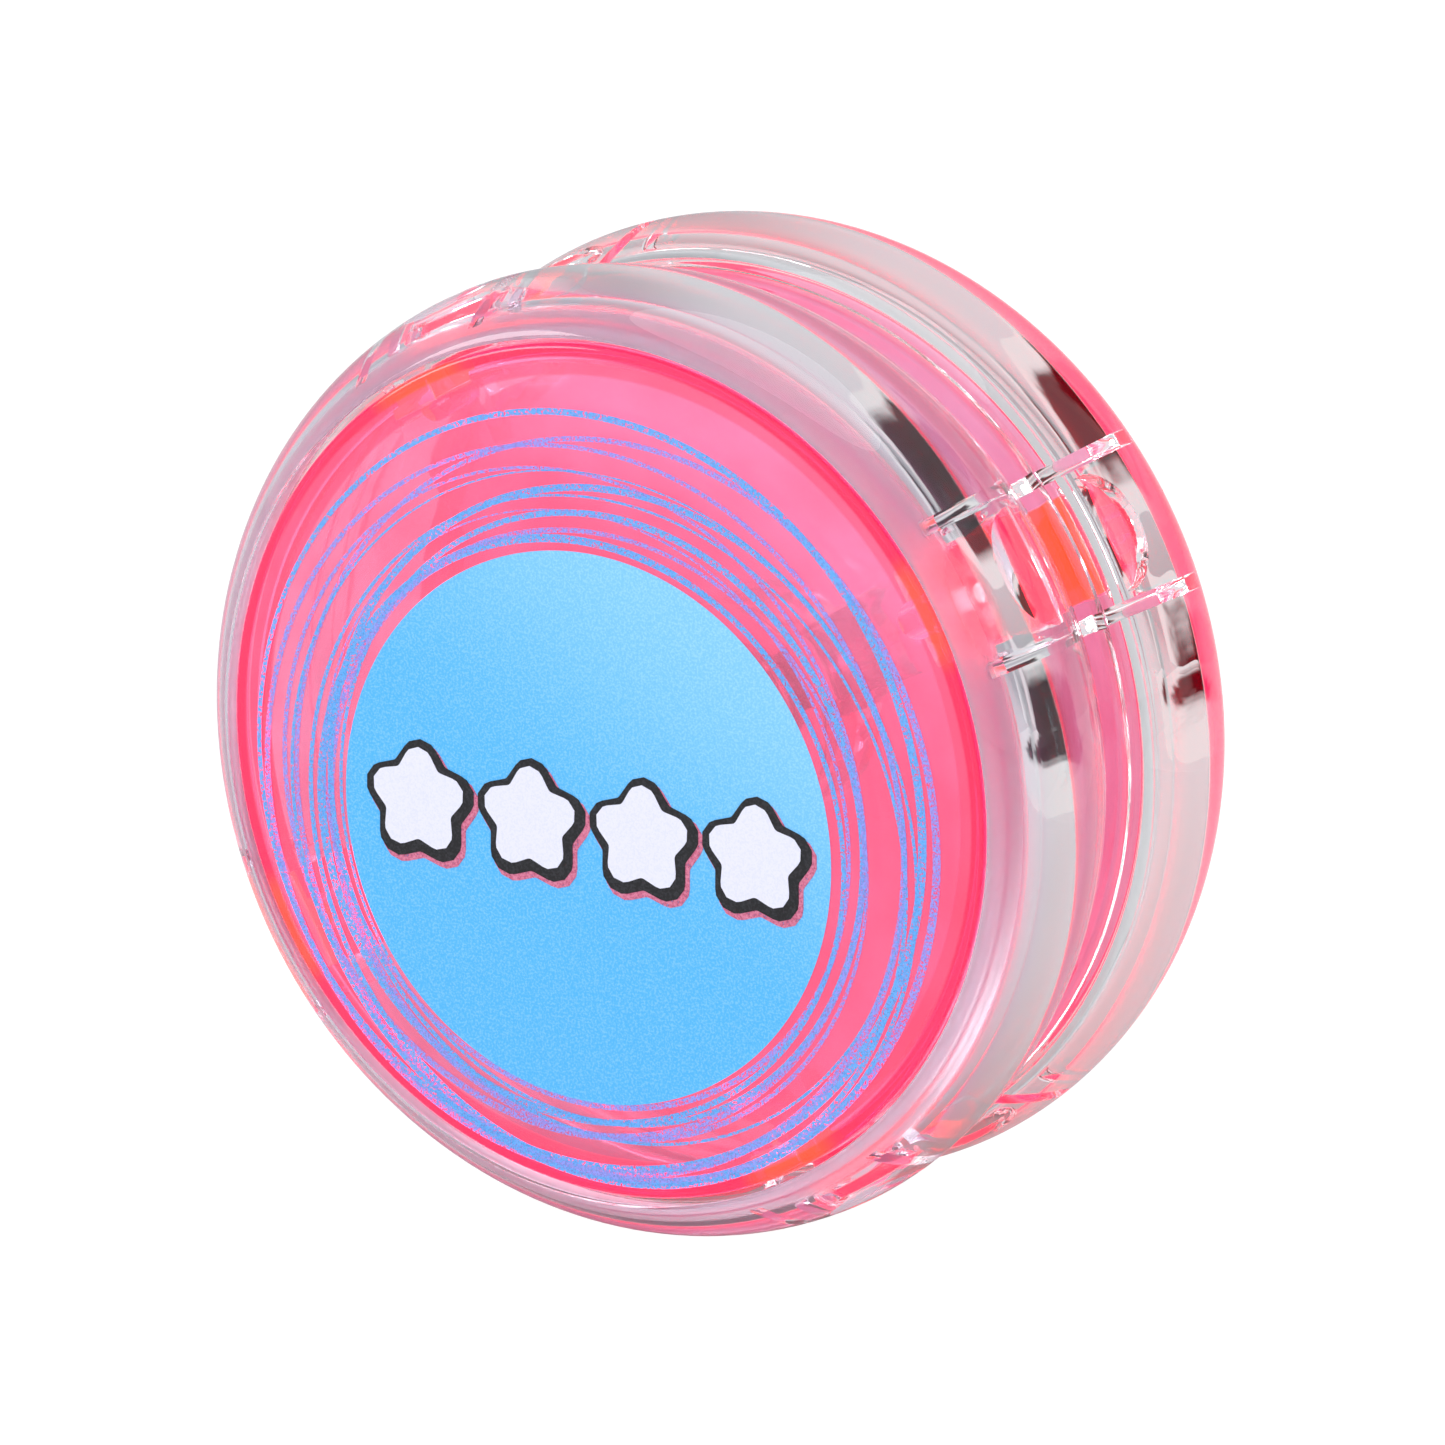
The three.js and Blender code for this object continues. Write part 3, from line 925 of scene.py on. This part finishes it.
class YOYO_OT_print(bpy.types.Operator):
    """Print the disc, the swirls and the row of stars on the front cap"""

    bl_idname = "yoyo.print"
    bl_label = "Front Print"

    def execute(self, context):
        scene = context.scene
        p, colours = scene.yoyo_print, scene.yoyo_colours
        face = scene.yoyo_cap.face
        centre = (p.centre_x, p.centre_z)
        blue, violet = tuple(colours.sky_blue), tuple(colours.violet)
        pale_blue = (0.32, 0.66, 0.98, 1)

        circle = ellipse((0, 0), (p.disc_radius, p.disc_radius), 0, count=256)
        disc = ink_layer([circle], face + p.ink, p.ink, centre)
        # the disc's ink turns paler towards the upper right: a painted highlight
        shiny = ink("sky_blue_ink", blue, pale_blue, grain=0.45, sheen=0.15, painted_highlight=0.5)
        self.keep("printed_disc", disc, shiny)

        swirls = []
        for i, loops in enumerate(swirl_rings(p)):
            swirls.append(ink_layer(loops, face + (1.2 + 0.06 * i) * p.ink, p.ink, centre))
        speckled = ink("violet_swirl_ink", violet, blue, grain=0.4, alpha=(0.46, 0.54), layered=True)
        self.keep("violet_swirls", join(bmesh.new(), swirls[1::2]), speckled)
        fuller = ink("blue_swirl_ink", blue, violet, grain=0.3, alpha=(0.44, 0.52), layered=True)
        self.keep("blue_swirls", join(bmesh.new(), swirls[::2]), fuller)

        pale_shadow = (0.75, 0.3, 0.42, 1)
        black, soot = (0.006, 0.006, 0.008, 1), (0.05, 0.05, 0.06, 1)
        white, cool_white = (0.74, 0.75, 0.88, 1), (0.6, 0.64, 0.85, 1)
        shadow = ink("shadow_ink", tuple(colours.shadow_pink), pale_shadow, alpha=(0.30, 0.42))
        layers = [  # name, margin round the star, shift, height in layers of ink, ink
            ("star_shadows", 0.62 * MM, (0.35 * MM, -0.42 * MM), 2.2, shadow),
            ("star_outlines", 0.55 * MM, (0.12 * MM, -0.14 * MM), 3.4,
             ink("black_ink", black, soot, grain=0.4)),
            ("star_faces", -0.05 * MM, (0, 0), 4.6,
             ink("white_ink", white, cool_white, grain=0.4)),
        ]
        for name, grow, shift, level, material in layers:
            row = []
            for i in range(p.stars):
                across = (i - (p.stars - 1) / 2) * p.star_pitch
                where = (centre[0] + across + shift[0], centre[1] + shift[1])
                bottom = face + (level + 0.1 * (i % 2)) * p.ink
                row.append(ink_layer([star(p.star_radius, grow)], bottom, p.ink, where))
            self.keep(name, join(bmesh.new(), row), material)
        return {"FINISHED"}

    @staticmethod
    def keep(name, shape, material):
        made = finished(name, shape, material)
        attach(made, "halves")


class YOYO_OT_axle(bpy.types.Operator):
    """Model the bolt, nut, spacers and string sleeve"""

    bl_idname = "yoyo.axle"
    bl_label = "Axle Hardware"

    def execute(self, context):
        scene = context.scene
        colours, phase = scene.yoyo_colours, scene.yoyo_shell.tab_phase
        steel = plated_steel(colours)
        self.keep("hex_bolt", to_side(bolt_shape(), "rear", phase), steel, "axle_bolt")
        self.keep("hex_nut", to_side(nut_shape(), "rear", phase), steel, "axle_nut")
        for side in SIDES:
            low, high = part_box(f"{side}_spacer")
            self.keep(f"{side}_washer", washer_shape(low, high), steel, f"{side}_spacer")
        sleeve = finished("acetal_sleeve", sleeve_shape(), acetal(colours))
        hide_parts("string_sleeve")
        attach(sleeve, "sleeve")
        return {"FINISHED"}

    @staticmethod
    def keep(name, shape, material, node):
        made = finished(name, shape, material)
        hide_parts(node)
        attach(made, "halves")


class YOYO_OT_stage(bpy.types.Operator):
    """Set the floor, the soft light and the camera"""

    bl_idname = "yoyo.stage"
    bl_label = "Studio"

    def execute(self, context):
        scene = context.scene
        bounces, layers = 40, 24  # enough for light to leave the clear rims
        scene.view_settings.view_transform = "Standard"
        scene.cycles.max_bounces = bounces
        scene.cycles.transmission_bounces = bounces
        scene.cycles.glossy_bounces = bounces
        scene.cycles.transparent_max_bounces = layers
        self.floor()
        on_floor = floor_height + 1 * MM
        cards = [  # name, centre, directions of its two sides, size
            ("upper_card", (0.17, 0.42, 0.29), (0.85, -0.5, 0.15), (0.1, -0.5, 0.85), (0.30, 0.30)),
            ("lower_card", (0.39, 0.39, -0.04), (-0.7, 0.7, 0), (0, 0, 1), (0.36, 0.27)),
            ("floor_card", (0.30, 0.30, on_floor), (0.7, 0.7, 0), (-0.7, 0.7, 0), (0.62, 0.24)),
        ]
        for card in cards:
            self.dark_card(*card)
        self.world(scene)
        self.lights(scene)
        self.camera(scene)
        return {"FINISHED"}

    @staticmethod
    def floor(half=4.0):
        bm = bmesh.new()
        bmesh.ops.create_grid(bm, x_segments=1, y_segments=1, size=half)
        bmesh.ops.translate(bm, verts=bm.verts, vec=(0, 0, floor_height))
        material, shader = new_material("pale_floor")
        mottle = shader.noise(shader.place(), 60 * MM, detail=1)
        paint = shader.node("ShaderNodeBsdfDiffuse", inputs={
            "Color": shader.mix(mottle, (0.58, 0.58, 0.58, 1), (0.60, 0.60, 0.60, 1)),
        })
        bright = shader.node("ShaderNodeEmission", inputs={"Color": (1, 1, 1, 1), "Strength": 1.15})
        seen = shader.node("ShaderNodeLightPath", output="Is Camera Ray")
        surface = shader.node("ShaderNodeMixShader", inputs={0: 0.88 * seen, 1: paint, 2: bright})
        shader.node("ShaderNodeOutputMaterial", inputs={"Surface": surface})
        finished("floor", bm, material)

    @staticmethod
    def dark_card(name, centre, along, across, size):
        """Dark card with a ragged soft edge, seen only in reflections and through clear plastic."""
        centre, along = Vector(centre), Vector(along).normalized()
        normal = along.cross(Vector(across)).normalized()
        across = normal.cross(along)
        turn = Matrix((along, across, normal)).transposed().to_4x4()
        bm = bmesh.new()
        bmesh.ops.create_grid(bm, x_segments=1, y_segments=1, size=0.5)
        bmesh.ops.scale(bm, verts=bm.verts, vec=(*size, 1))
        bmesh.ops.transform(bm, verts=bm.verts, matrix=Matrix.Translation(centre) @ turn)
        material, shader = new_material(name)
        place = shader.place(location=tuple(centre))
        ragged = 0.3 * (shader.noise(place, 60 * MM, detail=3) - 0.5)
        shares = []
        for axis, extent in ((along, size[0]), (across, size[1])):
            offset = shader.node(
                "ShaderNodeVectorMath", {"operation": "DOT_PRODUCT"},
                {0: place, 1: tuple(axis)}, output="Value",
            )
            shares.append(abs(offset) / extent)
        grey = (shader.math("MAXIMUM", *shares) + ragged).between(0.27, 0.40)
        studio = (WORLD_GREY, WORLD_GREY, WORLD_GREY, 1)
        shade = shader.mix(grey, (0, 0, 0, 1), studio)
        glow = shader.node("ShaderNodeEmission", inputs={"Color": shade})
        shader.node("ShaderNodeOutputMaterial", inputs={"Surface": glow})
        card = finished(name, bm, material)
        card.visible_camera = False
        card.visible_shadow = False
        card.visible_diffuse = False

    @staticmethod
    def world(scene):
        """White to the camera; to the plastic a grey studio, darker behind it and most so low down."""
        world = bpy.data.worlds.new("studio")
        scene.world = world
        shader = Shader(world)
        seen = shader.node("ShaderNodeLightPath", output="Is Camera Ray")
        depth, up = shader.axes(shader.place())[1:]
        behind = depth.between(0, 0.9) * (1 - 0.6 * up.between(0.1, 0.5))
        light, dim = WORLD_GREY + 0.04, WORLD_GREY - 0.34
        studio = shader.mix(behind, (light, light, light + 0.03, 1), (dim, dim, dim + 0.02, 1))
        white = (1.1, 1.1, 1.1, 1)
        background = shader.node(
            "ShaderNodeBackground", inputs={"Color": shader.mix(seen, studio, white)}
        )
        shader.node("ShaderNodeOutputWorld", inputs={"Surface": background})

    @staticmethod
    def lights(scene):
        """Three soft lamps aimed at the origin; the right one leaves no highlight."""
        lamps = [  # name, place, width, power, whether it shows in reflections
            ("overhead", (0.0, -0.1, 0.9), 0.9, 2, True),
            ("left_soft", (-0.9, -0.7, 0.5), 0.7, 5.5, True),
            ("right_soft", (0.7, -0.8, 0.45), 0.4, 4.5, False),
        ]
        for name, place, size, power, mirrored in lamps:
            lamp = bpy.data.lights.new(name, "AREA")
            lamp.shape = "DISK"
            lamp.size = size
            lamp.energy = power
            holder = bpy.data.objects.new(name, lamp)
            holder.location = place
            holder.rotation_mode = "QUATERNION"
            holder.rotation_quaternion = (-Vector(place)).to_track_quat("-Z", "Y")
            holder.visible_glossy = mirrored
            scene.collection.objects.link(holder)

    @staticmethod
    def camera(scene):
        azimuth, elevation = math.radians(31.41), math.radians(15.97)
        distance, aside = 0.811, 0.27 * MM
        right = Vector((math.cos(azimuth), math.sin(azimuth), 0))
        back = Vector((
            math.sin(azimuth) * math.cos(elevation),
            -math.cos(azimuth) * math.cos(elevation),
            math.sin(elevation),
        ))
        lens = bpy.data.cameras.new("camera")
        lens.sensor_width = 36
        lens.lens = 357
        lens.clip_start = 0.01
        lens.clip_end = 20
        camera = bpy.data.objects.new("camera", lens)
        camera.rotation_mode = "QUATERNION"
        camera.location = back * distance + right * aside
        camera.rotation_quaternion = (-back).to_track_quat("-Z", "Y")
        scene.collection.objects.link(camera)
        scene.camera = camera


class YOYO_PT_panel(bpy.types.Panel):
    """Lists the yo-yo's pieces and settings"""

    bl_label = "Clear Yo-yo"
    bl_idname = "YOYO_PT_panel"
    bl_space_type = "VIEW_3D"
    bl_region_type = "UI"
    bl_category = "Yo-yo"

    def draw(self, context):
        layout = self.layout
        for operator in OPERATORS:
            layout.operator(operator.bl_idname)
        for name in SETTINGS:
            settings = getattr(context.scene, name)
            for key in settings.bl_rna.properties.keys():
                if key not in ("rna_type", "name"):
                    layout.prop(settings, key)


SETTINGS = {
    "yoyo_shell": YoyoShellSettings,
    "yoyo_cap": YoyoCapSettings,
    "yoyo_print": YoyoPrintSettings,
    "yoyo_colours": YoyoColours,
}
OPERATORS = (YOYO_OT_stage, YOYO_OT_shells, YOYO_OT_caps, YOYO_OT_print, YOYO_OT_axle)


def register():
    for settings in SETTINGS.values():
        bpy.utils.register_class(settings)
    for name, settings in SETTINGS.items():
        setattr(bpy.types.Scene, name, PointerProperty(type=settings))
    for item in (*OPERATORS, YOYO_PT_panel):
        bpy.utils.register_class(item)


def unregister():
    for item in (YOYO_PT_panel, *reversed(OPERATORS)):
        bpy.utils.unregister_class(item)
    for name in SETTINGS:
        delattr(bpy.types.Scene, name)
    for settings in reversed(SETTINGS.values()):
        bpy.utils.unregister_class(settings)


def main():
    register()
    bpy.ops.yoyo.stage()
    bpy.ops.yoyo.shells()
    bpy.ops.yoyo.caps()
    bpy.ops.yoyo.print()
    bpy.ops.yoyo.axle()


if __name__ == "__main__":
    main()
